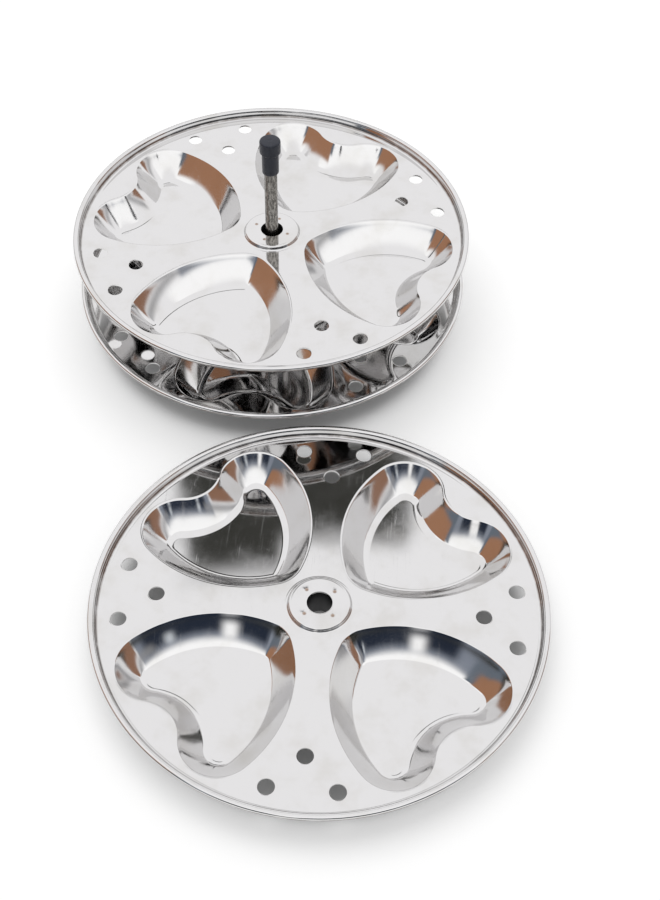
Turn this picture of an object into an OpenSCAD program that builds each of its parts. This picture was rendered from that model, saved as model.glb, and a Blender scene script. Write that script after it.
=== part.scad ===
// Three tier stand for steaming idli: pressed plates of heart cups on a centre rod.
// Two plates are stacked on the rod and the third lies in front of it.
// Millimetres, +Z up, origin on the rod's axis at the level of the table.

/* [Plates] */
// Outer diameter of a plate, over its rolled rim
plate_d = 200; // [198:1:250]
// Thickness of the pressed sheet
sheet_t = 0.8; // [0.6:0.1:0.9]
// Height of the rim above the flat of the plate
rim_h = 4.7; // [4:0.1:9]
// Diameter of the rolled bead along the rim
bead_d = 3; // [2.6:0.1:3.6]
// Bend radius between the flat and the rim wall
rim_bend_r = 2; // [1:0.1:2]
// Angle to which the bead is curled, past its outermost point
rim_curl = 130; // [90:5:150]

/* [Heart cups] */
// Number of cups in a plate
cup_n = 4; // [3:1:4]
// Depth of a cup below the flat
cup_depth = 12.5; // [10:0.1:14]
// Width of the sloping wall all round a cup, seen from above
cup_wall_w = 13.7; // [11:0.1:14]
// Bend radius along the top edge of a cup
cup_edge_r = 1.2; // [1:0.1:1.6]
// Bend radius between a cup's wall and its floor
cup_floor_r = 5; // [2:0.5:6]
// Distance from the plate's axis to the point of a heart
heart_in = 18.7; // [18.2:0.1:21]
// Radius of the rounded point
heart_tip_r = 14.7; // [14.3:0.1:16]
// Radius of the two long sides
heart_side_r = 59; // [56:0.5:70]
// Radius of the two lobes
heart_lobe_r = 17.6; // [15:0.1:18.5]
// Distance from the plate's axis to the line through both lobe centres
heart_lobe_u = 72.1; // [68:0.1:73]
// Half the distance between the lobe centres
heart_lobe_v = 22; // [18:0.1:22.5]
// Radius of the rounded cleft between the lobes
heart_cleft_r = 16; // [10:0.1:18]

/* [Steam holes] */
// Diameter of a steam hole
steam_hole_d = 7.1; // [4:0.1:8]
// Distance from the axis to the inner hole of each group of three
steam_in_r = 71.5; // [66:0.5:74]
// Distance from the axis to the outer two holes
steam_out_r = 87; // [84:0.5:89]
// Angle from the middle of a group to each outer hole
steam_spread = 9.4; // [8:0.1:11]

/* [Hub] */
// Gap all round between a hub's bore and the cap's head, which it passes over
hub_pass = 0.5; // [0.3:0.05:1.5]
// Wall of the hub's tube
hub_wall = 0.75; // [0.6:0.05:1.2]
// Width of the hub's flange, spot welded under the boss
hub_flange_w = 4.65; // [3:0.05:6]
// Thickness of the hub's flange
hub_flange_t = 0.8; // [0.6:0.1:1.2]
// Fillet between the hub's tube and its flange
hub_fillet_r = 0.5; // [0.2:0.05:0.5]
// Width of the boss's flat top beyond the flange
boss_margin = 1.5; // [1:0.1:3]
// Width of the boss's slope
boss_run = 2.5; // [2:0.1:4]
// Height of the boss above the flat
boss_h = 2.2; // [1.8:0.1:2.4]
// Diameter of a spot weld's dimple
weld_d = 1.6; // [1:0.1:2]
// Depth of a spot weld's dimple
weld_h = 0.12; // [0.05:0.01:0.2]
// Number of spot welds
weld_n = 4; // [3:1:6]

/* [Rod and cap] */
// Diameter of the rod
rod_d = 6.4; // [5.6:0.1:8]
// Step in to the threaded tail below the foot's top
tail_step = 0.7; // [0.4:0.1:1]
// Width of the rod's flange, which seats on the foot
rod_flange_w = 1.6; // [1:0.1:1.9]
// Thickness of the rod's flange
rod_flange_t = 2; // [1:0.1:4]
// Gap left between the third plate's boss and the cap
cap_gap = 3.6; // [1:0.1:20]
// Length of the cap
cap_h = 18.5; // [16:0.1:24]
// Wall of the cap round the rod
cap_wall = 0.9; // [0.8:0.05:1.5]
// Step out from the cap's neck to its head
cap_lip = 1; // [0.4:0.1:1.5]
// Height of the cap's head
cap_head_h = 6.5; // [4:0.1:9]
// Rounding of the head's top edge
cap_round = 0.8; // [0.3:0.1:1.5]
// Depth to which the rod is pushed into the cap
cap_socket_h = 14; // [8:0.1:15]

/* [Foot] */
// Diameter of the foot over its flange
foot_d = 90; // [70:1:120]
// Height of the foot, which carries the lowest hub
foot_h = 6.6; // [6.2:0.1:9]
// Thickness of the foot's sheet
foot_t = 1; // [0.8:0.1:1.2]
// Diameter of the flat on top of the foot
foot_top_d = 48; // [30:1:50]
// Width of the flange on which the foot stands
foot_flange_w = 6; // [4:0.5:10]
// Thickness of the washer under the foot's top
washer_t = 0.8; // [0.6:0.1:1]
// Diameter of the washer
washer_d = 11; // [9:0.5:14]
// Height of the thin nut
nut_h = 2.7; // [2:0.1:2.8]
// Width of the nut across its flats
nut_af = 8; // [7:0.1:10]
// Length of the threaded tail below the nut
tail_over = 0.5; // [0:0.1:1]

/* [Spacer] */
// Height from one stacked plate to the next
tier_pitch = 32.7; // [27:0.1:45]
// Wall of the spacer's tube
spacer_wall = 0.8; // [0.6:0.1:1.2]
// Width of the spacer's turned out foot
spacer_flange_w = 3; // [2:0.1:4]
// Bend radius between the spacer's tube and its foot
spacer_bend_r = 1; // [0.5:0.1:1.8]
// Gap between the spacer's bore and the hub's tube inside it
spacer_gap = 0.85; // [0.4:0.05:1]

/* [Layout] */
// Turn of the lowest stacked plate about the rod
lower_turn = 40; // [0:1:90]
// Turn of the upper stacked plate about the rod
upper_turn = 22; // [0:1:90]
// Turn of the plate in front about its own axis
front_turn = -3.2; // [-45:0.1:45]
// Sideways distance of the plate in front from the rod
front_x = 29.5; // [0:0.5:60]
// Gap between the rims of the front plate and the stacked plates, seen from above
front_gap = 0.6; // [0.5:0.1:40]

/* [Hidden] */
$fn = 96;

// Running clearance of the tail in the foot, the washer and the nut
tail_clear = 0.05;

// Steps along the two bends of a cup's wall, and along each arc of a lathe section
edge_steps = 2;
floor_steps = 3;
section_steps = 8;

// Diameters that follow from the rod outwards: cap, hub bore, hub and spacer
cap_neck_d = rod_d + 2 * cap_wall;
cap_head_d = cap_neck_d + 2 * cap_lip;
hub_bore_d = cap_head_d + 2 * hub_pass;
hub_tube_d = hub_bore_d + 2 * hub_wall;
hub_flange_d = hub_tube_d + 2 * hub_flange_w;
boss_top_d = hub_flange_d + 2 * boss_margin;
boss_d = boss_top_d + 2 * boss_run;
weld_r = (hub_tube_d + hub_flange_w) / 2;
tail_d = rod_d - 2 * tail_step;
tail_bore_d = tail_d + 2 * tail_clear;
spacer_bore_d = hub_tube_d + 2 * spacer_gap;
spacer_d = spacer_bore_d + 2 * spacer_wall;

// Heights of the plates' flats above the table, and of the cap's lower end
front_z = cup_depth + sheet_t;
lower_z = foot_h + front_z;
upper_z = lower_z + tier_pitch;
cap_z = upper_z + tier_pitch + boss_h + cap_gap;

// Place of the plate in front, whose rim clears those of the stacked plates
front_y = -sqrt(pow(plate_d + front_gap, 2) - pow(front_x, 2));

// Direction, seen from either bend's centre, in which a bend of a cup's wall meets the straight
// slope between the two
wall_drop = cup_depth - cup_edge_r - cup_floor_r;
wall_a = 90 - atan2(wall_drop, cup_wall_w)
    - asin((cup_edge_r + cup_floor_r) / norm([cup_wall_w, wall_drop]));

// Centres of a heart's arcs, each tangent to the next; the heart points at the axis along +X
tip_c = [heart_in + heart_tip_r, 0];
lobe_c = [heart_lobe_u, heart_lobe_v];
tip_reach = heart_side_r - heart_tip_r;
lobe_reach = heart_side_r - heart_lobe_r;
centre_span = norm(lobe_c - tip_c);
centre_dir = (lobe_c - tip_c) / centre_span;
centre_along = (pow(tip_reach, 2) - pow(lobe_reach, 2) + pow(centre_span, 2)) / (2 * centre_span);
centre_off = sqrt(pow(tip_reach, 2) - pow(centre_along, 2));
side_c = tip_c + centre_along * centre_dir + centre_off * [centre_dir.y, -centre_dir.x];
cleft_c = [heart_lobe_u + sqrt(pow(heart_lobe_r + heart_cleft_r, 2) - pow(heart_lobe_v, 2)), 0];

// Directions in which one arc hands over to the next
tip_a = atan2(tip_c.y - side_c.y, tip_c.x - side_c.x);
lobe_a = atan2(lobe_c.y - side_c.y, lobe_c.x - side_c.x);
cleft_a = atan2(cleft_c.y - lobe_c.y, cleft_c.x - lobe_c.x);

// The six arcs round a heart: centre, radius, first and last angle, steps of its outline, and
// whether its centre lies inside the heart (1) or outside it (-1)
HEART_ARCS = [
    [tip_c, heart_tip_r, tip_a, 360 - tip_a, 4, 1],
    [[side_c.x, -side_c.y], heart_side_r, 360 - tip_a, 360 - lobe_a, 6, 1],
    [[lobe_c.x, -lobe_c.y], heart_lobe_r, 360 - lobe_a, 360 - cleft_a, 7, 1],
    [cleft_c, heart_cleft_r, 180 - cleft_a, 180 + cleft_a, 5, -1],
    [lobe_c, heart_lobe_r, cleft_a, lobe_a, 7, 1],
    [side_c, heart_side_r, lobe_a, tip_a, 6, 1]
];

// Outline of a heart drawn in by a distance all round
function heart_points(inset) = [
    for (arc = HEART_ARCS, i = [0 : arc[4] - 1])
        let (a = arc[2] + (arc[3] - arc[2]) * i / arc[4])
            arc[0] + (arc[1] - arc[5] * inset) * [cos(a), sin(a)]
];

// Points of an S shaped bend in a sheet, from level at the top of one arc down to level at the
// bottom of the next; both arcs end on the same slope, and below is the distance under the
// sheet's upper face; low_first is 0 where a straight slope lies between the arcs, or 1 where
// they touch
function s_bend(top_c, top_r, low_c, low_r, slope, below, top_steps, low_steps, low_first) = concat(
    [for (i = [0 : top_steps])
        let (a = 90 - (90 - slope) * i / top_steps)
            top_c + (top_r - below) * [cos(a), sin(a)]],
    [for (i = [low_first : low_steps])
        let (a = 180 + slope + (90 - slope) * i / low_steps)
            low_c + (low_r + below) * [cos(a), sin(a)]]
);

// Inset and height of a cup's wall from its top edge down to its floor
function wall_levels(below) = s_bend(
    [0, -cup_edge_r], cup_edge_r, [cup_wall_w, cup_floor_r - cup_depth], cup_floor_r,
    wall_a, below, edge_steps, floor_steps, 0
);

// Solid lofted through the outlines of a heart at the levels of one face of its wall, with a
// first level that runs the topmost slope on upwards
module heart_loft(below) {
    wall = wall_levels(below);
    levels = concat([2 * wall[0] - wall[1]], wall);
    rings = [for (level = levels) heart_points(level.x)];
    n = len(rings[0]);
    last = len(levels) - 1;
    polyhedron(
        points = [for (k = [0 : last]) for (p = rings[k]) [p.x, p.y, levels[k].y]],
        faces = concat(
            [[for (i = [n - 1 : -1 : 0]) i]],
            [[for (i = [0 : n - 1]) last * n + i]],
            [for (k = [0 : last - 1], i = [0 : n - 1])
                let (j = (i + 1) % n)
                    [k * n + i, k * n + j, (k + 1) * n + j, (k + 1) * n + i]]
        )
    );
}

// Sector of a circle about the origin, wide enough to cut any bend of a section
module sector(from, to, reach = 60) {
    mid = (from + to) / 2;
    polygon([
        [0, 0],
        reach * [cos(from), sin(from)],
        1.5 * reach * [cos(mid), sin(mid)],
        reach * [cos(to), sin(to)]
    ]);
}

// Bend of a sheet: a ring of one sheet's thickness inside an outer radius, over a range of angles
module bend(centre, outer_r, thick, from, to) {
    translate(centre) intersection() {
        difference() {
            circle(outer_r);
            circle(outer_r - thick);
        }
        sector(from, to);
    }
}

// Section of a sheet with one round step: flat at height drop from bore_r to top_r, then down to
// a flat at height 0 from low_r to end_r; heights are those of the upper face
module step_section(bore_r, top_r, low_r, end_r, drop, thick) {
    run = low_r - top_r;
    step_r = (pow(run, 2) + pow(drop, 2)) / (4 * drop);
    slope = atan2(step_r - drop / 2, run / 2);
    faces = [for (below = [0, thick]) s_bend(
        [top_r, drop - step_r], step_r, [low_r, step_r], step_r,
        slope, below, section_steps, section_steps, 1
    )];
    polygon(concat(
        [[bore_r, drop]], faces[0], [[end_r, 0], [end_r, -thick]],
        [for (i = [len(faces[1]) - 1 : -1 : 0]) faces[1][i]], [[bore_r, drop - thick]]
    ));
}

// Section of a plate without its cups: boss, flat, rim wall and rolled bead
module plate_section() {
    wall_r = plate_d / 2 - bead_d;
    bend_start_r = wall_r - rim_bend_r;
    bead_c = [plate_d / 2 - bead_d / 2, rim_h - bead_d / 2];
    step_section(hub_bore_d / 2, boss_top_d / 2, boss_d / 2, bend_start_r, boss_h, sheet_t);
    bend([bend_start_r, rim_bend_r], rim_bend_r + sheet_t, sheet_t, -90, 0);
    translate([wall_r, rim_bend_r]) square([sheet_t, bead_c.y - rim_bend_r]);
    bend(bead_c, bead_d / 2, sheet_t, 0, 180);
    bend(bead_c, bead_d / 2, sheet_t, -rim_curl, 0);
}

// A whole pressed plate with the top of its flat at height 0
module plate() {
    difference() {
        union() {
            rotate_extrude() plate_section();
            at_cups() heart_loft(sheet_t);
        }
        at_cups() heart_loft(0);
        for (i = [1 : cup_n]) rotate([0, 0, 360 / cup_n * i]) steam_holes();
        for (i = [1 : weld_n]) rotate([0, 0, 360 / weld_n * (i + 0.5)])
            translate([weld_r, 0, boss_h - weld_h]) cylinder(d = weld_d, h = sheet_t);
    }
}

// A copy of the children at each cup of a plate
module at_cups() {
    for (i = [1 : cup_n]) rotate([0, 0, 360 / cup_n * (i - 0.5)]) children();
}

// One group of three steam holes, between two cups
module steam_holes() {
    for (spot = [[steam_in_r, 0], [steam_out_r, steam_spread], [steam_out_r, -steam_spread]])
        rotate([0, 0, spot[1]]) translate([spot[0], 0, -2 * sheet_t])
            cylinder(d = steam_hole_d, h = 3 * sheet_t);
}

// Flanged tube welded under a boss; it ends level with the bottoms of the cups
module hub() {
    flange_z = boss_h - sheet_t - hub_flange_t;
    bottom_z = -cup_depth - sheet_t;
    rotate_extrude() {
        translate([hub_bore_d / 2, flange_z])
            square([(hub_flange_d - hub_bore_d) / 2, hub_flange_t]);
        translate([hub_bore_d / 2, bottom_z]) square([hub_wall, flange_z - bottom_z]);
        translate([hub_tube_d / 2, flange_z - hub_fillet_r]) difference() {
            square(hub_fillet_r);
            translate([hub_fillet_r, 0]) circle(hub_fillet_r);
        }
    }
}

module foot() {
    flange_r = foot_d / 2 - foot_flange_w;
    color("silver") translate([0, 0, foot_t]) rotate_extrude()
        step_section(tail_bore_d / 2, foot_top_d / 2, flange_r, foot_d / 2, foot_h - foot_t, foot_t);
}

module foot_washer() {
    color("silver") translate([0, 0, foot_h - foot_t - washer_t]) difference() {
        cylinder(d = washer_d, h = washer_t);
        translate([0, 0, -1]) cylinder(d = tail_bore_d, h = washer_t + 2);
    }
}

module rod_nut() {
    color("silver") translate([0, 0, foot_h - foot_t - washer_t - nut_h]) difference() {
        cylinder(d = nut_af / cos(30), h = nut_h, $fn = 6);
        translate([0, 0, -1]) cylinder(d = tail_bore_d, h = nut_h + 2);
    }
}

module rod() {
    tail_z = foot_h - foot_t - washer_t - nut_h - tail_over;
    rod_top_z = cap_z + cap_socket_h;
    color("gray") {
        translate([0, 0, tail_z]) cylinder(d = tail_d, h = foot_h - tail_z);
        translate([0, 0, foot_h]) cylinder(d = rod_d + 2 * rod_flange_w, h = rod_flange_t);
        translate([0, 0, foot_h]) cylinder(d = rod_d, h = rod_top_z - foot_h);
    }
}

module rod_cap() {
    neck_r = cap_neck_d / 2;
    head_r = cap_head_d / 2;
    head_z = cap_h - cap_head_h;
    color("darkslategray") translate([0, 0, cap_z]) difference() {
        rotate_extrude() {
            polygon([
                [0, 0], [neck_r, 0], [neck_r, head_z - cap_lip], [head_r, head_z],
                [head_r, cap_h - cap_round], [head_r - cap_round, cap_h - cap_round],
                [head_r - cap_round, cap_h], [0, cap_h]
            ]);
            translate([head_r - cap_round, cap_h - cap_round]) intersection() {
                circle(cap_round);
                square(cap_round);
            }
        }
        translate([0, 0, -1]) cylinder(d = rod_d, h = cap_socket_h + 1);
    }
}

module lower_plate() {
    color("gainsboro") translate([0, 0, lower_z]) rotate([0, 0, lower_turn]) plate();
}

module lower_hub() {
    color("lightgray") translate([0, 0, lower_z]) hub();
}

module spacer_sleeve() {
    length = tier_pitch - sheet_t - hub_flange_t;
    bend_z = spacer_bend_r + spacer_wall;
    bend_end_r = spacer_d / 2 + spacer_bend_r;
    color("darkgray") translate([0, 0, lower_z + boss_h]) rotate_extrude() {
        translate([spacer_bore_d / 2, bend_z]) square([spacer_wall, length - bend_z]);
        bend([bend_end_r, bend_z], bend_z, spacer_wall, 180, 270);
        translate([bend_end_r, 0]) square([spacer_flange_w - spacer_bend_r, spacer_wall]);
    }
}

module upper_plate() {
    color("gainsboro") translate([0, 0, upper_z]) rotate([0, 0, upper_turn]) plate();
}

module upper_hub() {
    color("lightgray") translate([0, 0, upper_z]) hub();
}

module front_plate() {
    color("gainsboro") translate([front_x, front_y, front_z]) rotate([0, 0, front_turn]) plate();
}

module front_hub() {
    color("lightgray") translate([front_x, front_y, front_z]) hub();
}

foot();
foot_washer();
rod_nut();
rod();
rod_cap();
lower_plate();
lower_hub();
spacer_sleeve();
upper_plate();
upper_hub();
front_plate();
front_hub();
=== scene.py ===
"""Three tier idli stand in polished steel: two plates stacked on a rod, the third in front."""
import math

import bmesh
import bpy
from mathutils import Matrix, Vector


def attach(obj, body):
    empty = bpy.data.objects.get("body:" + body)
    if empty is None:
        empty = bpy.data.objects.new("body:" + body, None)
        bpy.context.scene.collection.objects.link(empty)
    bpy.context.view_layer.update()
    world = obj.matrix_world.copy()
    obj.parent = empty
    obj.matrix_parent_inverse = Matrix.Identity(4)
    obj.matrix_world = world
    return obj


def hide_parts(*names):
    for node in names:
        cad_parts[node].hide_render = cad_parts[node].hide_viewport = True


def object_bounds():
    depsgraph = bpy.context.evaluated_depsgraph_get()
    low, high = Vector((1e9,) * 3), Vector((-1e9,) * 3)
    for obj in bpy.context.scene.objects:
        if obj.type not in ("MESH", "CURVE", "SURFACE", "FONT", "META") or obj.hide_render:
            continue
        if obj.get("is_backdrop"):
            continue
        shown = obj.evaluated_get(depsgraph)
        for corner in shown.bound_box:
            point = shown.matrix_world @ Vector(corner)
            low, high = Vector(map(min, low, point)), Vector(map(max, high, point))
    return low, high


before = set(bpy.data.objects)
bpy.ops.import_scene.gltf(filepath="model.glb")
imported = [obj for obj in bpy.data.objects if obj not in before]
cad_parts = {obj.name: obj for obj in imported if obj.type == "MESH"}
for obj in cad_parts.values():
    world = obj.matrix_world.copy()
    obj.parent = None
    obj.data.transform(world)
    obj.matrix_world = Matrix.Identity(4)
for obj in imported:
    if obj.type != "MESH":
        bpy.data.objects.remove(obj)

cad_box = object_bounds()
MM = 0.001
UP = (0, 0, 1)

# Sizes of the pressed plates, in millimetres, as in the CAD model
SHEET = 0.8
RIM_BEND_AT = 95.0
RIM_BEND_R = 2.0
BEAD_AT = (98.49, 3.2)
BEAD_R = 1.5
BEAD_CURL = 112
BOSS_AT = 15.0
BOSS_TOP_AT = 12.5
BOSS_H = 2.2
BORE_R = 5.6
CUP_DEPTH = 12.5
CUP_WALL = 13.7
CUP_EDGE_R = 1.2
CUP_FLOOR_R = 5.0
# Half of the angle that the hollow wall turns through
CUP_HOLLOW = math.radians(6)
HOLE_R = 3.55
HOLES = ((71.5, 0), (87.0, 9.4), (87.0, -9.4))
WELD_AT = 8.675
# Weld dimples: edge radius, then (drawn in, sunk) steps to the middle
DIMPLE_R = 0.5
DIMPLE = ((0.2, 0.01), (0.35, 0.0), (0.5, -0.03), (0.65, -0.05), (0.75, -0.055))
# A flat strip runs beside each bend, so that the mirror finish stays true up to it
STRIP = 0.4
# How near, in metres, a vertex is to the place where it belongs
NEAR = 2e-6
# Edges that turn more than SHARP degrees get a small round, those under SMOOTH shade smoothly
SHARP = 50
SMOOTH = 38

# Sizes of the turned pieces, in millimetres: heights over the floor, radii from the rod's axis
HUB_TUBE_R = 6.35
HUB_FLANGE_R = 11.0
HUB_FLANGE_T = 0.8
SPACER_Z = (22.1, 53.2)
SPACER_R = (7.2, 8.0)
SPACER_FLARE_R = 11.0
FOOT_TOP = 6.6
FOOT_FLANGE_R = 45.0
FOOT_SHEET = 1.0
NUT_BORE_R = 2.55
NUT_Z = (2.1, 4.8)
NUT_HALF_WIDTH = 4
WASHER_R = 5.5
WASHER_TOP = 5.6
ROD_R = 3.2
ROD_TOP = 105.1
THREAD_R = (2.12, 2.5)
THREAD_PITCH = 0.8
CAP_Z = 91.1

# Each plate's place: its centre with the height of its flat, and its turn in degrees
PLATES = {
    "upper": ((0.0, 0.0, 52.6), 22.0),
    "lower": ((0.0, 0.0, 19.9), 40.0),
    "front": ((29.5, -198.419, 13.3), -3.2),
}

# Middle of a cup, in a plate's coordinates folded on to one quarter
CUP_MIDDLE = (41, 41, 0)

# Colours of the finishes
MIRROR, MIRROR_STAINED = (0.72, 0.715, 0.715, 1), (0.665, 0.655, 0.64, 1)
# the second colour on the next line is painted shade for the rim's corner and under its bead
WELD_BROWN, RIM_PAINTED_SHADE = (0.30, 0.19, 0.12, 1), (0.10, 0.075, 0.06, 1)
TUBE_STEEL, FOOT_STEEL = (0.74, 0.73, 0.72, 1), (0.78, 0.77, 0.76, 1)
# the dark colour after the nut's steel is painted shade for the inside of the bores
NUT_STEEL, BORE_PAINTED_SHADE = (0.62, 0.61, 0.59, 1), (0.07, 0.07, 0.072, 1)
ROD_GREY, ROD_BLOTCH = (0.36, 0.345, 0.32, 1), (0.15, 0.143, 0.133, 1)
CAP_DARK, CAP_PATCH = (0.010, 0.013, 0.024, 1), (0.019, 0.023, 0.036, 1)
CAP_RUBBED = (0.10, 0.105, 0.12, 1)
PAPER, BLACK, WHITE = (0.8, 0.8, 0.8, 1), (0.0, 0.0, 0.0, 1), (1, 1, 1, 1)

# White that the paper adds where the camera or the steel sees it: the full amount all round the
# object, and far less under the plates and in steel that mirrors steel, where the drop is painted
# shade
FLOOR_WHITE = 0.40
FLOOR_UNDER = 0.04
FLOOR_MIRRORED = 0.03

# The room in the steel: a white tent with patches, each given by its colour, its lowest and
# highest angle over the horizon, its bearing from +X, its half width, softness and strength,
# and for a patch that slants, by how much it rises with each degree of bearing.
# What isn't mirrored is lit by the plain light, the same from every side.
TENT = (1.08, 1.075, 1.085, 1)
PLAIN_LIGHT = (0.55, 0.55, 0.55, 1)
BROWN = (0.42, 0.215, 0.125, 1)
ROOM = (
    # in front: a bright band, grey and dark under it, and two glares in the dark
    ((1.28, 1.28, 1.28, 1), (30, 48), -90, 80, 4, 1.0),
    ((0.28, 0.31, 0.37, 1), (10, 30), -90, 60, 3, 1.0),
    ((0.022, 0.03, 0.05, 1), (12, 26), -84, 44, 4, 1.0),
    ((0.02, 0.02, 0.015, 1), (-20, 14), -90, 84, 4, 1.0),
    ((1.25, 1.25, 1.25, 1), (18, 30), -100, 5, 4, 1.0),
    ((0.9, 0.95, 1.0, 1), (20, 27), -58, 3, 3, 0.8),
    # at the back: a dark block with a taller part
    ((0.05, 0.05, 0.045, 1), (49.6, 54.2), 92, 8, 0.7, 1.0),
    ((0.05, 0.05, 0.045, 1), (49.6, 55.5), 97, 3.6, 0.7, 1.0),
    # at the left: blue grey low down and a slanting brown board
    ((0.16, 0.19, 0.23, 1), (-2, 20), 176, 44, 2, 1.0, 0.42),
    (BROWN, (8, 29), 180, 33, 2, 1.0, 0.42),
    # at the right: a brown board and a grey strip over it
    ((0.32, 0.175, 0.115, 1), (4, 19), 0, 26, 2, 1.0),
    ((0.34, 0.34, 0.35, 1), (21, 27), -12, 34, 3, 0.8),
    # all round: the dark horizon
    ((0.045, 0.04, 0.032, 1), (-30, 6), -90, 200, 3, 1.0),
)


def edit(obj):
    bpy.ops.object.select_all(action="DESELECT")
    bpy.context.view_layer.objects.active = obj
    obj.select_set(True)
    bpy.ops.object.mode_set(mode="EDIT")


def leave(obj):
    bpy.ops.object.mode_set(mode="OBJECT")
    return obj


def pick(obj, kind, test):
    """Selects only the vertices, edges or faces of an object in edit mode that pass a test."""
    bpy.ops.mesh.select_all(action="DESELECT")
    mesh = bmesh.from_edit_mesh(obj.data)
    for item in getattr(mesh, kind):
        if test(item):
            item.select_set(True)
    mesh.select_flush_mode()
    bmesh.update_edit_mesh(obj.data)


def start_point(name, at):
    """A new object in edit mode, whose mesh is one selected vertex, at a point in millimetres."""
    bpy.ops.object.select_all(action="DESELECT")
    bpy.ops.mesh.primitive_plane_add(size=MM)
    obj = bpy.context.object
    obj.name = obj.data.name = name
    bpy.ops.object.mode_set(mode="EDIT")
    bpy.ops.mesh.select_all(action="SELECT")
    bpy.ops.mesh.merge(type="CENTER")
    bpy.ops.transform.translate(value=[c * MM for c in at])
    bpy.context.tool_settings.mesh_select_mode = (True, True, False)
    return obj


def draw_on(points, at):
    """Extrudes the selected vertex through points (radius, height), from the point at."""
    for r, z in points:
        move = ((r - at[0]) * MM, 0, (z - at[1]) * MM)
        bpy.ops.mesh.extrude_region_move(TRANSFORM_OT_translate={"value": move})
        at = (r, z)


def arc(centre, r, first, last, steps, skip_first=False):
    """Points on an arc of a section, from the first to the last angle in degrees."""
    turns = [math.radians(first + (last - first) * i / steps) for i in range(steps + 1)]
    points = [(centre[0] + r * math.cos(a), centre[1] + r * math.sin(a)) for a in turns]
    return points[1:] if skip_first else points


def weld_up(limit=1e-7):
    bpy.ops.mesh.select_all(action="SELECT")
    bpy.ops.mesh.remove_doubles(threshold=limit)


def outwards():
    bpy.ops.mesh.select_all(action="SELECT")
    bpy.ops.mesh.normals_make_consistent(inside=False)


def apply_modifier(obj, kind, **settings):
    modifier = obj.modifiers.new(kind.lower(), kind)
    for key, value in settings.items():
        setattr(modifier, key, value)
    bpy.context.view_layer.objects.active = obj
    bpy.ops.object.modifier_apply(modifier=modifier.name)


def soften(obj, width):
    """Small round on each sharp edge, then smooth shading up to the edges that stay sharp."""
    apply_modifier(
        obj, "BEVEL", width=width * MM, segments=2, limit_method="ANGLE",
        angle_limit=math.radians(SHARP), harden_normals=False,
    )
    smooth(obj)


def smooth(obj, angle=SMOOTH):
    bpy.ops.object.select_all(action="DESELECT")
    obj.select_set(True)
    bpy.context.view_layer.objects.active = obj
    bpy.ops.object.shade_smooth_by_angle(angle=math.radians(angle))


def turned(name, section, steps=96):
    """A piece turned on the lathe: a closed section of (radius, height) spun about the rod."""
    obj = start_point(name, (section[0][0], 0, section[0][1]))
    draw_on(section[1:] + section[:1], section[0])
    bpy.ops.mesh.select_all(action="SELECT")
    bpy.ops.mesh.spin(steps=steps, angle=math.tau, center=(0, 0, 0), axis=UP)
    weld_up()
    outwards()
    return leave(obj)


def place(obj, at, turn=0.0):
    """Moves the mesh itself, so that the object stays at the origin."""
    spot = Matrix.Translation(Vector(at) * MM) @ Matrix.Rotation(math.radians(turn), 4, "Z")
    obj.data.transform(spot)
    obj.data.update()
    return obj


def copy_of(obj, name):
    twin = obj.copy()
    twin.data = obj.data.copy()
    twin.name = twin.data.name = name
    bpy.context.scene.collection.objects.link(twin)
    return twin


def spot_at(r, bearing, height=0.0):
    """A point in millimetres at a radius and a bearing in degrees about the plate's centre."""
    a = math.radians(bearing)
    return (r * math.cos(a), r * math.sin(a), height)


def join(pieces):
    bpy.ops.object.select_all(action="DESELECT")
    for piece in pieces:
        piece.select_set(True)
    bpy.context.view_layer.objects.active = pieces[0]
    bpy.ops.object.join()
    return pieces[0]


def heart_arcs():
    """Arcs round a heart cup: centre, radius, first and last angle, steps, side of the centre."""
    tip_r, side_r, lobe_r, cleft_r = 14.7, 59.0, 17.6, 16.0
    tip, lobe = Vector((33.4, 0.0)), Vector((72.1, 22.0))
    span = lobe - tip
    reach, lobe_reach = side_r - tip_r, side_r - lobe_r
    along = (reach**2 - lobe_reach**2 + span.length**2) / (2 * span.length)
    off = math.sqrt(reach**2 - along**2)
    way = span.normalized()
    side = tip + along * way + off * Vector((way.y, -way.x))
    cleft = Vector((lobe.x + math.sqrt((lobe_r + cleft_r) ** 2 - lobe.y**2), 0.0))

    def bearing(a, b):
        return math.degrees(math.atan2(b.y - a.y, b.x - a.x))

    tip_a, lobe_a, cleft_a = bearing(side, tip), bearing(side, lobe), bearing(lobe, cleft)

    def over(p):
        return Vector((p.x, -p.y))

    return [
        (tip, tip_r, tip_a, 360 - tip_a, 12, 1),
        (over(side), side_r, 360 - tip_a, 360 - lobe_a, 26, 1),
        (over(lobe), lobe_r, 360 - lobe_a, 360 - cleft_a, 30, 1),
        (cleft, cleft_r, 180 - cleft_a, 180 + cleft_a, 18, -1),
        (lobe, lobe_r, cleft_a, lobe_a, 30, 1),
        (side, side_r, lobe_a, tip_a, 26, 1),
    ]


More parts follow.
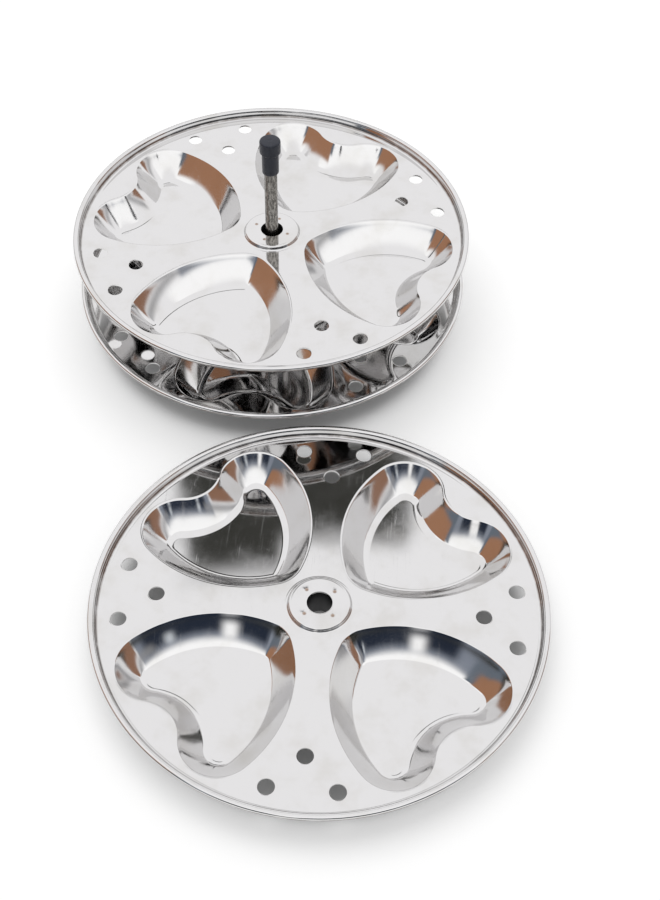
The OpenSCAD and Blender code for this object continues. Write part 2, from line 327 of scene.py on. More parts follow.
def cup_wall():
    """Steps (drawn in, sunk) down a cup's wall: edge bend, hollow slope, floor bend, floor."""
    slope = math.atan2(CUP_DEPTH, CUP_WALL)
    for _ in range(40):
        top, foot = slope + CUP_HOLLOW, slope - CUP_HOLLOW
        run = CUP_WALL - CUP_EDGE_R * math.sin(top) - CUP_FLOOR_R * math.sin(foot)
        drop = CUP_DEPTH - CUP_EDGE_R * (1 - math.cos(top)) - CUP_FLOOR_R * (1 - math.cos(foot))
        slope = math.atan2(drop, run)
    hollow_r = math.hypot(run, drop) / (2 * math.sin(CUP_HOLLOW))
    top, foot = math.degrees(slope + CUP_HOLLOW), math.degrees(slope - CUP_HOLLOW)
    edge = arc((0, -CUP_EDGE_R), CUP_EDGE_R, 90, 90 - top, 7)
    bend_at = (CUP_WALL, CUP_FLOOR_R - CUP_DEPTH)
    bend = arc(bend_at, CUP_FLOOR_R, 270 - foot, 270, 12)
    x, z = edge[-1]
    across = math.radians(90 - top)
    hollow_at = (x + hollow_r * math.cos(across), z + hollow_r * math.sin(across))
    wall = arc(hollow_at, hollow_r, 270 - top, 270 - foot, 8)[1:-1]
    return edge + wall + bend + [(CUP_WALL + STRIP, -CUP_DEPTH)]


def heart_cup():
    """One cup: a heart spun arc by arc, then inset and sunk step by step down its wall."""
    arcs = heart_arcs()
    centre, r, first, _, _, side = arcs[0]
    a = math.radians(first)
    rim = r + side * STRIP
    obj = start_point("heart_cup", (centre.x + rim * math.cos(a), centre.y + rim * math.sin(a), 0))
    for centre, _, first, last, steps, _ in arcs:
        bpy.ops.mesh.spin(
            steps=steps, angle=math.radians(first - last),
            center=(centre.x * MM, centre.y * MM, 0), axis=UP,
        )
    weld_up(1e-6)
    bpy.ops.mesh.edge_face_add()
    pick(obj, "faces", lambda f: f.normal.z < 0)
    bpy.ops.mesh.flip_normals()
    bpy.ops.mesh.select_all(action="SELECT")
    drawn, sunk = -STRIP, 0.0
    for inset, z in cup_wall():
        bpy.ops.mesh.inset(thickness=(inset - drawn) * MM, depth=(z - sunk) * MM)
        drawn, sunk = inset, z
    return leave(obj)


def ringed_hole(name, r, dish=()):
    """A round hole in the flat with a strip beside it, or a shallow dish where dish is given."""
    bpy.ops.object.select_all(action="DESELECT")
    bpy.ops.mesh.primitive_circle_add(vertices=40, radius=(r + STRIP) * MM)
    obj = bpy.context.object
    obj.name = obj.data.name = name
    bpy.ops.object.mode_set(mode="EDIT")
    bpy.ops.mesh.select_all(action="SELECT")
    if dish:
        bpy.ops.mesh.edge_face_add()
        drawn, sunk = 0.0, 0.0
        for inset, z in dish:
            bpy.ops.mesh.inset(thickness=(inset - drawn) * MM, depth=(z - sunk) * MM)
            drawn, sunk = inset, z
    else:
        bpy.ops.mesh.extrude_edges_move()
        shrink = r / (r + STRIP)
        bpy.ops.transform.resize(value=(shrink, shrink, 1), center_override=(0, 0, 0))
    return leave(obj)


def loop(name, r, z=0.0, vertices=256):
    bpy.ops.object.select_all(action="DESELECT")
    bpy.ops.mesh.primitive_circle_add(vertices=vertices, radius=r * MM)
    obj = bpy.context.object
    obj.name = obj.data.name = name
    return place(obj, (0, 0, z))


def run_on(obj, at, points):
    """Carries the edge loop at (radius, height) on through the points of a section."""
    r, z = at
    pick(obj, "edges", lambda e: all(
        abs(v.co.xy.length - r * MM) < NEAR and abs(v.co.z - z * MM) < NEAR for v in e.verts
    ))
    for next_r, next_z in points:
        move = (0, 0, (next_z - z) * MM)
        bpy.ops.mesh.extrude_edges_move(TRANSFORM_OT_translate={"value": move})
        bpy.ops.transform.resize(value=(next_r / r, next_r / r, 1), center_override=(0, 0, 0))
        r, z = next_r, next_z


def fill_level(obj, z, skip):
    """Fills the sheet between the open loops at one height, apart from those to be skipped."""
    pick(obj, "edges", lambda e: len(e.link_faces) < 2 and not skip(e) and all(
        abs(v.co.z - z * MM) < NEAR for v in e.verts
    ))
    bpy.ops.mesh.fill(use_beauty=True)


def pressed_plate():
    """A whole plate about its own centre, the top of its flat at height 0."""
    cup = heart_cup()
    parts = [loop("plate", RIM_BEND_AT - STRIP), loop("boss_loop", BOSS_AT + STRIP, 0, 96)]
    for i in range(4):
        parts.append(place(copy_of(cup, "cup"), (0, 0, 0), 45 + 90 * i))
    bpy.data.objects.remove(cup)
    hole = ringed_hole("hole", HOLE_R)
    hole_spots = [spot_at(r, 90 * i + a) for i in range(4) for r, a in HOLES]
    parts += [place(copy_of(hole, "hole"), spot) for spot in hole_spots]
    bpy.data.objects.remove(hole)
    plate = join(parts)
    edit(plate)

    def rim_of_hole(e):
        middle = (e.verts[0].co.xy + e.verts[1].co.xy) / 2
        hole_edge = (HOLE_R + STRIP / 2) * MM
        return any((middle - Vector(spot[:2]) * MM).length < hole_edge for spot in hole_spots)

    fill_level(plate, 0, rim_of_hole)

    # the rolled rim: strip, bend, wall and bead
    rim = [(RIM_BEND_AT, 0)]
    rim += arc((RIM_BEND_AT, RIM_BEND_R), RIM_BEND_R, -90, 0, 9, True)
    rim += [(BEAD_AT[0] - BEAD_R, (RIM_BEND_R + BEAD_AT[1]) / 2)]
    rim += arc(BEAD_AT, BEAD_R, 180, -BEAD_CURL, 30)
    run_on(plate, (RIM_BEND_AT - STRIP, 0), rim)

    # the boss: strip, S shaped slope and a strip of its flat top
    run, rise = BOSS_AT - BOSS_TOP_AT, BOSS_H
    r = (run**2 + rise**2) / (4 * rise)
    half = math.degrees(math.atan2(run / 2, r - rise / 2))
    boss = [(BOSS_AT, 0)]
    boss += arc((BOSS_AT, r), r, 270, 270 - half, 8, True)
    boss += arc((BOSS_TOP_AT, rise - r), r, 90 - half, 90, 8, True)
    boss += [(BOSS_TOP_AT - STRIP, rise)]
    run_on(plate, (BOSS_AT + STRIP, 0), boss)
    leave(plate)

    # the boss's top: four weld dimples round the bore
    dimple = ringed_hole("dimple", DIMPLE_R, DIMPLE)
    parts = [plate, loop("bore_loop", BORE_R + STRIP, BOSS_H, 96)]
    for i in range(4):
        parts.append(place(copy_of(dimple, "dimple"), spot_at(WELD_AT, 45 + 90 * i, BOSS_H)))
    bpy.data.objects.remove(dimple)
    plate = join(parts)
    edit(plate)
    fill_level(plate, BOSS_H, lambda e: False)
    run_on(plate, (BORE_R + STRIP, BOSS_H), [(BORE_R, BOSS_H)])
    weld_up(1e-6)
    bpy.ops.mesh.normals_make_consistent(inside=False)
    # the sheet is still open, so its top is turned up before it gets its thickness
    mesh = bmesh.from_edit_mesh(plate.data)
    if sum(f.normal.z * f.calc_area() for f in mesh.faces) < 0:
        bpy.ops.mesh.flip_normals()
    leave(plate)
    apply_modifier(plate, "SOLIDIFY", thickness=SHEET * MM, offset=-1, use_even_offset=True)
    soften(plate, 0.1)
    return plate


def skin(obj, body, nodes, material):
    """Hands a finished piece to the frame: its body, the CAD node it stands for, its finish."""
    obj.data.materials.clear()
    obj.data.materials.append(material)
    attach(obj, body)
    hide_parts(*nodes)


def hub_section():
    """Section of the flanged tube under a boss, about a plate's own centre."""
    top, under, foot = BOSS_H - SHEET, BOSS_H - SHEET - HUB_FLANGE_T, -CUP_DEPTH - SHEET
    fillet = arc((HUB_TUBE_R + 0.5, under - 0.5), 0.5, 90, 180, 5)
    return [
        (BORE_R, foot), (BORE_R, top), (HUB_FLANGE_R, top), (HUB_FLANGE_R, under),
        *fillet, (HUB_TUBE_R, foot),
    ]


def spacer_section():
    """Section of the sleeve between the stacked plates, its lower end turned outwards."""
    (low, high), (bore, outside) = SPACER_Z, SPACER_R
    bend_at = (outside + 1.0, low + 1.8)
    outer, inner = arc(bend_at, 1.0, 180, 270, 7), arc(bend_at, 1.8, 270, 180, 9)
    flare = [(SPACER_FLARE_R, low + 0.8), (SPACER_FLARE_R, low)]
    return [(bore, high), (outside, high), *outer, *flare, *inner]


def foot_section():
    """Pressed foot: a flat top, one round step down, and the flange that it stands on."""
    top_at, low_at, drop = 24.0, 39.0, 5.6
    run = low_at - top_at
    r = (run**2 + drop**2) / (4 * drop)
    slope = math.degrees(math.atan2(r - drop / 2, run / 2))
    upper_bend, lower_bend = (top_at, FOOT_TOP - r), (low_at, FOOT_SHEET + r)
    above = arc(upper_bend, r, 90, slope, 14)
    above += arc(lower_bend, r, 180 + slope, 270, 14, True)
    below = arc(upper_bend, r - FOOT_SHEET, 90, slope, 14)
    below += arc(lower_bend, r + FOOT_SHEET, 180 + slope, 270, 14, True)
    flange = [(FOOT_FLANGE_R, FOOT_SHEET), (FOOT_FLANGE_R, 0.0)]
    return [
        (NUT_BORE_R, FOOT_TOP), *above, *flange, *reversed(below),
        (NUT_BORE_R, FOOT_TOP - FOOT_SHEET),
    ]


def rod_section():
    """Section of the rod: threaded tail, the collar that rests on the foot, and the long bar."""
    root, crest = THREAD_R
    thread = [(crest, WASHER_TOP)]
    z = 5.2
    while z > 2.0:
        thread += [(crest, z), (root, z - THREAD_PITCH / 2)]
        z -= THREAD_PITCH
    collar = [(4.8, FOOT_TOP), (4.8, FOOT_TOP + 2.0), (ROD_R + 0.25, FOOT_TOP + 2.0)]
    fillet = arc((ROD_R + 0.25, 8.85), 0.25, 270, 180, 4)
    return [
        (0.0, 1.6), (2.1, 1.6), *reversed(thread), (crest, FOOT_TOP), *collar, *fillet,
        (ROD_R, ROD_TOP - 0.5), (ROD_R - 0.5, ROD_TOP), (0.0, ROD_TOP),
    ]


def cap_section():
    """Push-on cap: neck, step, head with rounded edges, and the socket for the rod."""
    z = CAP_Z
    return [
        (ROD_R, z), *arc((3.8, z + 0.3), 0.3, 270, 360, 4), (4.1, z + 10.7),
        *arc((4.4, z + 10.9), 0.3, 180, 135, 3), *arc((4.75, z + 12.15), 0.35, -45, 0, 3),
        *arc((4.1, z + 17.5), 1.0, 0, 90, 7), (0.0, z + 18.42), (0.0, z + 14.0), (ROD_R, z + 14.0),
    ]


def hex_nut():
    """Thin nut: a six-sided bar, its corners turned to a cone on both faces, then bored."""
    bpy.ops.object.select_all(action="DESELECT")
    low, high = NUT_Z
    bpy.ops.mesh.primitive_cylinder_add(
        vertices=6, radius=NUT_HALF_WIDTH / math.cos(math.pi / 6) * MM, depth=(high - low) * MM,
        location=(0, 0, (low + high) / 2 * MM),
    )
    nut = bpy.context.object
    nut.name = nut.data.name = "rod_nut_hex"
    bpy.ops.object.transform_apply(location=True, rotation=True, scale=True)
    shape = turned("nut_cone", [
        (NUT_BORE_R, low), (NUT_BORE_R, high), (3.85, high), (4.75, high - 0.35),
        (4.75, low + 0.35), (3.85, low),
    ], 72)
    apply_modifier(nut, "BOOLEAN", object=shape, operation="INTERSECT", solver="EXACT")
    bpy.data.objects.remove(shape)
    edit(nut)
    weld_up(4e-6)
    outwards()
    return leave(nut)


# ---------------------------------------------------------------- finishes
def put(tree, kind, inputs=None, **settings):
    """Adds a node: an input given as a socket is linked, any other value is set."""
    node = tree.nodes.new(kind)
    for name, value in settings.items():
        setattr(node, name, value)
    for key, value in (inputs or {}).items():
        if isinstance(value, bpy.types.NodeSocket):
            tree.links.new(value, node.inputs[key])
        else:
            node.inputs[key].default_value = value
    return node


def sums(tree, operation, *values):
    return put(tree, "ShaderNodeMath", dict(enumerate(values)), operation=operation).outputs[0]


def fade(tree, value, start, end, low=0.0, high=1.0):
    """Goes smoothly from low to high as the value goes from start to end."""
    inputs = {"Value": value, "From Min": start, "From Max": end, "To Min": low, "To Max": high}
    return put(tree, "ShaderNodeMapRange", inputs, interpolation_type="SMOOTHSTEP").outputs[0]


def axis_distance(tree, split):
    """How far a point is from the upright axis, from its three split coordinates."""
    squares = [sums(tree, "POWER", split[i], 2.0) for i in range(2)]
    return sums(tree, "SQRT", sums(tree, "ADD", *squares))


def noise(tree, vector, scale, detail, roughness):
    inputs = {"Vector": vector, "Scale": scale, "Detail": detail, "Roughness": roughness}
    return put(tree, "ShaderNodeTexNoise", inputs).outputs["Fac"]


def stretched(tree, vector, scale, turn=0.0):
    inputs = {"Vector": vector, "Scale": scale, "Rotation": (0, 0, math.radians(turn))}
    return put(tree, "ShaderNodeMapping", inputs).outputs[0]


def blended(tree, amount, first, second):
    node = put(tree, "ShaderNodeMix", data_type="RGBA")
    sockets = node.inputs[0], node.inputs[6], node.inputs[7]
    for socket, value in zip(sockets, (amount, first, second)):
        if isinstance(value, bpy.types.NodeSocket):
            tree.links.new(value, socket)
        else:
            socket.default_value = value
    return node.outputs[2]


def group(name, inputs, outputs):
    """An empty node group with its sockets, its input sockets and its output node."""
    tree = bpy.data.node_groups.new(name, "ShaderNodeTree")
    for label, kind in inputs:
        tree.interface.new_socket(label, in_out="INPUT", socket_type="NodeSocket" + kind)
    for label in outputs:
        tree.interface.new_socket(label, in_out="OUTPUT", socket_type="NodeSocketFloat")
    return tree, put(tree, "NodeGroupInput").outputs, put(tree, "NodeGroupOutput")


def hand_marks():
    """Wear of steel that is used and washed: haze in patches, fine scratches, tiny pits."""
    tree, given, out = group(
        "hand_marks", (("Place", "Vector"), ("Patch Size", "Float")), ("Haze", "Scratches", "Pits")
    )
    place = given["Place"]
    spread = sums(tree, "DIVIDE", 1.0, given["Patch Size"])
    haze = fade(tree, noise(tree, place, spread, 5, 0.6), 0.38, 0.72)
    lines = 0.0
    for turn, length in ((18, 0.035), (63, 0.05), (117, 0.03), (158, 0.06)):
        run = noise(tree, stretched(tree, place, (1.6, length, length), turn), 1.0, 2, 0.6)
        lines = sums(tree, "ADD", lines, fade(tree, run, 0.66, 0.74))
    pits = fade(tree, noise(tree, place, 1.7, 1, 0.5), 0.74, 0.8)
    for label, value in (("Haze", haze), ("Scratches", lines), ("Pits", pits)):
        tree.links.new(value, out.inputs[label])
    return tree


def drawn_lines():
    """Marks of the press tool: lines down a cup's wall, and a mask of the wall."""
    tree, given, out = group("drawn_lines", (("Place", "Vector"),), ("Lines", "Wall"))
    folded = put(tree, "ShaderNodeVectorMath", {0: given["Place"]}, operation="ABSOLUTE").outputs[0]
    about = put(tree, "ShaderNodeVectorMath", {0: folded, 1: CUP_MIDDLE}, operation="SUBTRACT")
    split = put(tree, "ShaderNodeSeparateXYZ", {0: about.outputs[0]}).outputs
    height = put(tree, "ShaderNodeSeparateXYZ", {0: given["Place"]}).outputs[2]
    bearing = sums(tree, "ARCTAN2", split[1], split[0])
    # the bearing about the cup, as millimetres along its wall
    spot = put(tree, "ShaderNodeCombineXYZ", {0: sums(tree, "MULTIPLY", bearing, 34.0), 1: height})
    run = noise(tree, stretched(tree, spot.outputs[0], (1.0, 0.06, 1.0)), 1.0, 4, 0.65)
    below = fade(tree, height, -0.4, -1.6)
    above = fade(tree, height, 1.0 - CUP_DEPTH, 3.0 - CUP_DEPTH)
    wall = sums(tree, "MULTIPLY", below, above)
    tree.links.new(run, out.inputs["Lines"])
    tree.links.new(wall, out.inputs["Wall"])
    return tree


MARKS, LINES = hand_marks(), drawn_lines()


def finish(name, metal):
    """A material with its tree and its shader."""
    material = bpy.data.materials.new(name)
    material.use_nodes = True
    tree = material.node_tree
    shader = tree.nodes["Principled BSDF"]
    shader.inputs["Metallic"].default_value = metal
    return material, tree, shader


def placed(tree, at=(0, 0, 0), turn=0.0):
    """Object coordinates in millimetres about a point, turned with the piece."""
    place = put(tree, "ShaderNodeTexCoord").outputs["Object"]
    inputs = {
        "Vector": place, "Location": [c * MM for c in at],
        "Rotation": (0, 0, math.radians(turn)), "Scale": (MM, MM, MM),
    }
    return put(tree, "ShaderNodeMapping", inputs, vector_type="TEXTURE").outputs[0]


def raised(tree, shader, height):
    """Height in millimetres to the shader's normal."""
    inputs = {"Height": height, "Distance": MM, "Strength": 1.0}
    bump = put(tree, "ShaderNodeBump", inputs).outputs[0]
    tree.links.new(bump, shader.inputs["Normal"])


def marks(tree, place, patch):
    inputs = {"Place": place, "Patch Size": patch}
    return put(tree, "ShaderNodeGroup", inputs, node_tree=MARKS).outputs


def mirror_sheet(name, at, turn):
    """Mirror polished sheet of a plate: soft waves, haze, draw lines, weld tint, and painted shade
    along the rim.
    """
    material, tree, shader = finish(name, 1.0)
    place = placed(tree, at, turn)
    used = marks(tree, place, 26.0)
    press = put(tree, "ShaderNodeGroup", {"Place": place}, node_tree=LINES).outputs
    split = put(tree, "ShaderNodeSeparateXYZ", {0: place}).outputs
    # a brown tint on the four weld dimples, which the folded coordinates bring together
    folded = put(tree, "ShaderNodeVectorMath", {0: place}, operation="ABSOLUTE").outputs[0]
    spot = WELD_AT * math.sqrt(0.5)
    weld = {0: folded, 1: (spot, spot, BOSS_H)}
    off = put(tree, "ShaderNodeVectorMath", weld, operation="DISTANCE")
    tint = fade(tree, off.outputs["Value"], 1.2, 0.4)
    stain = fade(tree, noise(tree, place, 0.05, 3, 0.6), 0.45, 0.75)
    colour = blended(tree, stain, MIRROR, MIRROR_STAINED)
    colour = blended(tree, sums(tree, "MULTIPLY", tint, 0.8), colour, WELD_BROWN)
    # painted shade: a dark line in the corner of the rim and under the roll of the bead, broken up
    # by noise
    flat = put(tree, "ShaderNodeCombineXYZ", {0: split[0], 1: split[1]}).outputs[0]
    reach = put(tree, "ShaderNodeVectorMath", {0: flat}, operation="LENGTH").outputs["Value"]
    corner = sums(tree, "MULTIPLY", fade(tree, reach, 95.6, 96.4), fade(tree, reach, 97.4, 97.0))
    corner = sums(tree, "MULTIPLY", corner, fade(tree, split[2], 2.2, 0.8))
    roll = sums(tree, "MULTIPLY", fade(tree, reach, 98.9, 99.6), fade(tree, split[2], 3.9, 2.9))
    uneven = fade(tree, noise(tree, place, 0.12, 4, 0.7), 0.25, 0.6, 0.35, 1.0)
    rim_shade = sums(tree, "MAXIMUM", sums(tree, "MULTIPLY", corner, 0.7), roll)
    rim_shade = sums(tree, "MULTIPLY", rim_shade, uneven)
    colour = blended(tree, rim_shade, colour, RIM_PAINTED_SHADE)
    tree.links.new(colour, shader.inputs["Base Color"])

    rough = sums(tree, "MULTIPLY_ADD", used["Haze"], 0.05, 0.035)
    rough = sums(tree, "MULTIPLY_ADD", used["Scratches"], 0.05, rough)
    wall = sums(tree, "MULTIPLY", press["Lines"], press["Wall"])
    rough = sums(tree, "MULTIPLY_ADD", wall, 0.10, rough)
    tree.links.new(rough, shader.inputs["Roughness"])

    waves = noise(tree, place, 0.03, 1, 0.4)
    height = sums(tree, "MULTIPLY", waves, 0.035)
    height = sums(tree, "MULTIPLY_ADD", noise(tree, place, 0.12, 1, 0.4), 0.0015, height)
    height = sums(tree, "MULTIPLY_ADD", wall, 0.0012, height)
    height = sums(tree, "MULTIPLY_ADD", used["Scratches"], -0.0002, height)
    height = sums(tree, "MULTIPLY_ADD", used["Pits"], -0.0015, height)
    raised(tree, shader, height)
    return material


def turned_steel(name, colour, rough, ring_step, at=(0, 0, 0), bore=0.0):
    """Steel from the lathe or the press: rings round its axis, haze, and painted shade inside the
    bore.
    """
    material, tree, shader = finish(name, 1.0)
    place = placed(tree, at)
    used = marks(tree, place, 12.0)
    split = put(tree, "ShaderNodeSeparateXYZ", {0: place}).outputs
    reach = axis_distance(tree, split)
    ring = put(tree, "ShaderNodeCombineXYZ", {0: reach, 1: split[2]}).outputs[0]
    rings = noise(tree, ring, 1.0 / ring_step, 3, 0.6)
    shade = fade(tree, noise(tree, place, 0.09, 4, 0.6), 0.35, 0.7)
    dark = tuple(c * 0.82 for c in colour[:3]) + (1,)
    shaded = blended(tree, shade, colour, dark)
    value = sums(tree, "MULTIPLY_ADD", rings, 0.14, rough)
    if bore:
        # painted shade: the inside of the bore is coloured near black
        inside = fade(tree, reach, bore + 0.3, bore + 0.1)
        shaded = blended(tree, inside, shaded, BORE_PAINTED_SHADE)
        value = sums(tree, "MULTIPLY_ADD", inside, 0.3, value)
    tree.links.new(shaded, shader.inputs["Base Color"])
    value = sums(tree, "MULTIPLY_ADD", used["Haze"], 0.08, value)
    tree.links.new(value, shader.inputs["Roughness"])
    height = sums(tree, "MULTIPLY", rings, 0.006)
    height = sums(tree, "MULTIPLY_ADD", used["Scratches"], -0.001, height)
    height = sums(tree, "MULTIPLY_ADD", used["Pits"], -0.004, height)
    raised(tree, shader, height)
    return material


def mottled_rod():
    """Drawn bar with a satin, mottled grey surface and marks along its length."""
    material, tree, shader = finish("rod_drawn_bar", 1.0)
    place = placed(tree)
    used = marks(tree, place, 5.0)
    patches = noise(tree, stretched(tree, place, (0.9, 0.9, 0.35)), 1.0, 4, 0.7)
    blotch = fade(tree, patches, 0.4, 0.62)
    colour = blended(tree, blotch, ROD_GREY, ROD_BLOTCH)
    tree.links.new(colour, shader.inputs["Base Color"])
    streak = noise(tree, stretched(tree, place, (5.0, 5.0, 0.12)), 1.0, 3, 0.6)
    rough = sums(tree, "MULTIPLY_ADD", streak, 0.16, 0.16)
    rough = sums(tree, "MULTIPLY_ADD", blotch, 0.14, rough)
    tree.links.new(rough, shader.inputs["Roughness"])
    height = sums(tree, "MULTIPLY", streak, 0.003)
    height = sums(tree, "MULTIPLY_ADD", blotch, -0.005, height)
    height = sums(tree, "MULTIPLY_ADD", used["Pits"], -0.006, height)
    raised(tree, shader, height)
    return material


def moulded_cap():
    """Dark plastic cap: fine grain, rubbed scratches, a mould seam down its sides, a gate mark."""
    material, tree, shader = finish("cap_dark_plastic", 0.0)
    shader.inputs["Specular IOR Level"].default_value = 0.45
    place = placed(tree)
    used = marks(tree, place, 4.0)
    grain = noise(tree, place, 5.5, 2, 0.6)
    patch = fade(tree, noise(tree, place, 0.35, 4, 0.6), 0.4, 0.7)
    colour = blended(tree, patch, CAP_DARK, CAP_PATCH)
    rubbed = sums(tree, "MULTIPLY", used["Scratches"], 0.35)
    colour = blended(tree, rubbed, colour, CAP_RUBBED)
    tree.links.new(colour, shader.inputs["Base Color"])
    rough = sums(tree, "MULTIPLY_ADD", grain, 0.16, 0.26)
    rough = sums(tree, "MULTIPLY_ADD", patch, 0.12, rough)
    tree.links.new(rough, shader.inputs["Roughness"])
    split = put(tree, "ShaderNodeSeparateXYZ", {0: place}).outputs
    seam = fade(tree, sums(tree, "ABSOLUTE", split[0]), 0.16, 0.04)
    reach = axis_distance(tree, split)
    seam = sums(tree, "MULTIPLY", seam, fade(tree, reach, 2.8, 3.2))
    gate = fade(tree, reach, 1.1, 0.8)
    height = sums(tree, "MULTIPLY", grain, 0.02)
    height = sums(tree, "MULTIPLY_ADD", seam, 0.05, height)
    height = sums(tree, "MULTIPLY_ADD", gate, -0.12, height)
    raised(tree, shader, height)
    return material


tube_steel = turned_steel("tube_steel", TUBE_STEEL, 0.12, 0.25)
hub_steel = {
    tier: turned_steel(tier + "_hub_steel", TUBE_STEEL, 0.12, 0.25, at, BORE_R)
    for tier, (at, _) in PLATES.items()
}
foot_steel = turned_steel("foot_steel", FOOT_STEEL, 0.10, 0.5)
nut_steel = turned_steel("nut_steel", NUT_STEEL, 0.2, 0.2)
rod_finish = mottled_rod()
cap_finish = moulded_cap()

# ---------------------------------------------------------------- pieces
blank = pressed_plate()
for tier, (at, turn) in PLATES.items():
    sheet = place(copy_of(blank, tier + "_plate_pressed"), at, turn)
    mirror = mirror_sheet(tier + "_mirror_sheet", at, turn)
    skin(sheet, tier + "_tier", [tier + "_plate"], mirror)
    hub = turned(tier + "_hub_tube", hub_section())
    soften(hub, 0.1)
    skin(place(hub, at), tier + "_tier", [tier + "_hub"], hub_steel[tier])
bpy.data.objects.remove(blank)

spacer = turned("spacer_turned_out", spacer_section())
soften(spacer, 0.1)
skin(spacer, "spacer", ["spacer_sleeve"], tube_steel)

base = turned("foot_pressed", foot_section(), 192)
soften(base, 0.2)
skin(base, "stand", ["foot"], foot_steel)

washer_low = NUT_Z[1]
washer = turned("washer_turned", [
    (NUT_BORE_R, washer_low), (NUT_BORE_R, WASHER_TOP), (WASHER_R, WASHER_TOP),
    (WASHER_R, washer_low),
], 72)
soften(washer, 0.15)
skin(washer, "stand", ["foot_washer"], nut_steel)

nut = hex_nut()
smooth(nut, 20)
skin(nut, "stand", ["rod_nut"], nut_steel)

rod = turned("rod_satin", rod_section())
smooth(rod)
skin(rod, "stand", ["rod"], rod_finish)

cap = turned("cap_moulded", cap_section())
smooth(cap)
skin(cap, "stand", ["rod_cap"], cap_finish)

# ---------------------------------------------------------------- floor, light and camera
bpy.ops.object.select_all(action="DESELECT")
bpy.ops.mesh.primitive_plane_add(size=6)
floor = bpy.context.object
floor.name = "floor"
paper, tree, shader = finish("white_paper", 0.0)
shader.inputs["Roughness"].default_value = 0.9
shader.inputs["Specular IOR Level"].default_value = 0.2
place = placed(tree)
# white paper round the object; under the plates its added white fades away, a painted shadow disc,
# and far off it is plain white; near and wide go from 0 to 1 inwards and far outwards, over these
# distances in millimetres
near, wide, far = 0.0, 0.0, 1.0
for east, north, _ in (PLATES["upper"][0], PLATES["front"][0]):
    ends = {0: place, 1: (east, north, 0)}
    away = put(tree, "ShaderNodeVectorMath", ends, operation="DISTANCE").outputs["Value"]
    near = sums(tree, "MAXIMUM", near, fade(tree, away, 100, 84))
    wide = sums(tree, "MAXIMUM", wide, fade(tree, away, 135, 105))
    far = sums(tree, "MINIMUM", far, fade(tree, away, 400, 900))
rays = put(tree, "ShaderNodeLightPath").outputs
mirrored = sums(tree, "MAXIMUM", rays["Is Glossy Ray"], rays["Is Transmission Ray"])
# painted shade: between the pieces, where steel mirrors steel, the paper is darkened towards black
# and loses most of its added white
deep = sums(tree, "MULTIPLY", wide, fade(tree, rays["Ray Depth"], 1.2, 1.8))
# painted shadow: the camera sees less added white under the plates
white_seen = fade(tree, near, 0, 1, FLOOR_WHITE, FLOOR_UNDER)
white_mirrored = fade(tree, deep, 0, 1, FLOOR_WHITE, FLOOR_MIRRORED)
seen = sums(tree, "MULTIPLY", rays["Is Camera Ray"], white_seen)
glare = sums(tree, "MULTIPLY", mirrored, white_mirrored)
mirrored_shade = sums(tree, "MULTIPLY", mirrored, sums(tree, "MULTIPLY", deep, 0.75))
paper_colour = blended(tree, mirrored_shade, PAPER, BLACK)
tree.links.new(paper_colour, shader.inputs["Base Color"])
glow = put(tree, "ShaderNodeEmission", {"Strength": sums(tree, "ADD", seen, glare)}).outputs[0]
lit = put(tree, "ShaderNodeAddShader", {0: shader.outputs[0], 1: glow}).outputs[0]
backdrop = put(tree, "ShaderNodeEmission").outputs[0]
lit = put(tree, "ShaderNodeMixShader", {0: far, 1: lit, 2: backdrop}).outputs[0]
clear = put(tree, "ShaderNodeBsdfTransparent").outputs[0]
behind = put(tree, "ShaderNodeNewGeometry").outputs["Backfacing"]
both = put(tree, "ShaderNodeMixShader", {0: behind, 1: lit, 2: clear}).outputs[0]
tree.links.new(both, tree.nodes["Material Output"].inputs["Surface"])
floor.data.materials.append(paper)
floor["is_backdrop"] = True

# the room that the steel mirrors: a white tent, dark behind the camera, brown low at both sides
world = bpy.data.worlds.new("studio")
bpy.context.scene.world = world
world.use_nodes = True
tree = world.node_tree
way = put(tree, "ShaderNodeTexCoord").outputs["Generated"]
split = put(tree, "ShaderNodeSeparateXYZ", {0: way}).outputs
east, north = split[0], split[1]
rise = sums(tree, "MULTIPLY", sums(tree, "ARCSINE", split[2]), 180 / math.pi)
room = TENT
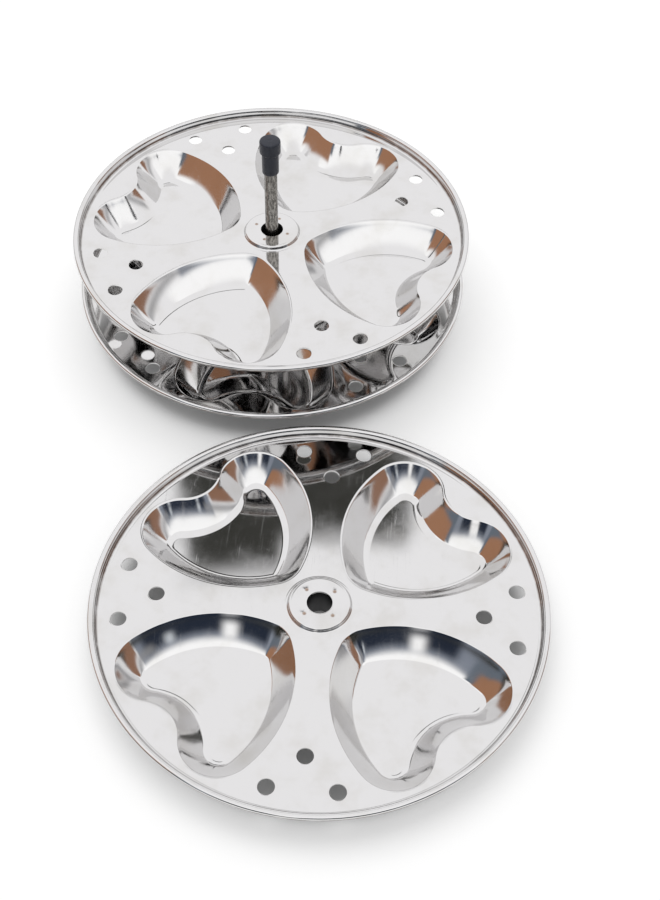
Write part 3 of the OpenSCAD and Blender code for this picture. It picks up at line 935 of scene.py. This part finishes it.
for colour, (low, high), bearing, half, soft, strength, *slant in ROOM:
    c, s = math.cos(math.radians(bearing)), math.sin(math.radians(bearing))
    ahead = sums(tree, "MULTIPLY_ADD", east, c, sums(tree, "MULTIPLY", north, s))
    aside = sums(tree, "MULTIPLY_ADD", north, c, sums(tree, "MULTIPLY", east, -s))
    turned_by = sums(tree, "MULTIPLY", sums(tree, "ARCTAN2", aside, ahead), 180 / math.pi)
    height = sums(tree, "MULTIPLY_ADD", turned_by, -slant[0], rise) if slant else rise
    amount = fade(tree, sums(tree, "ABSOLUTE", turned_by), half + soft, half - soft, 0.0, strength)
    amount = sums(tree, "MULTIPLY", amount, fade(tree, height, low - soft, low + soft))
    amount = sums(tree, "MULTIPLY", amount, fade(tree, height, high + soft, high - soft))
    room = blended(tree, amount, room, colour)
rays = put(tree, "ShaderNodeLightPath").outputs
mirrored = sums(tree, "MAXIMUM", rays["Is Glossy Ray"], rays["Is Transmission Ray"])
light = blended(tree, mirrored, PLAIN_LIGHT, room)
light = blended(tree, rays["Is Camera Ray"], light, WHITE)
tree.links.new(light, tree.nodes["Background"].inputs["Color"])

# the camera's tilt below the horizon and its roll, in radians, and its place in millimetres
PITCH, ROLL = 0.8779, 0.0254
CAMERA_AT = (32.33, -506.81, 490.61)
camera_data = bpy.data.cameras.new("camera")
camera_data.lens = 51.88
camera_data.sensor_width = 36.0
camera = bpy.data.objects.new("camera", camera_data)
bpy.context.scene.collection.objects.link(camera)
tilt = math.sin(PITCH), math.cos(PITCH)
right = Vector((math.cos(ROLL), math.sin(ROLL) * tilt[0], math.sin(ROLL) * tilt[1]))
above = Vector((-math.sin(ROLL), math.cos(ROLL) * tilt[0], math.cos(ROLL) * tilt[1]))
back = Vector((0, -tilt[1], tilt[0]))
facing = Matrix((right, above, back)).transposed().to_4x4()
camera.matrix_world = Matrix.Translation(Vector(CAMERA_AT) * MM) @ facing
bpy.context.scene.camera = camera

lamp_data = bpy.data.lights.new("soft_box", "AREA")
lamp_data.shape = "SQUARE"
lamp_data.size = 0.9
lamp_data.energy = 4.5
lamp = bpy.data.objects.new("soft_box", lamp_data)
bpy.context.scene.collection.objects.link(lamp)
lamp.location = (-0.1, 0.1, 1.1)
aim = Vector((0, -0.1, 0)) - lamp.location
lamp.rotation_euler = aim.to_track_quat("-Z", "Y").to_euler()
lamp.visible_glossy = False

bpy.context.scene.view_settings.view_transform = "Standard"

boxes = {"cad": cad_box, "visual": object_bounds()}
{name: [list(corner) for corner in box] for name, box in boxes.items()}
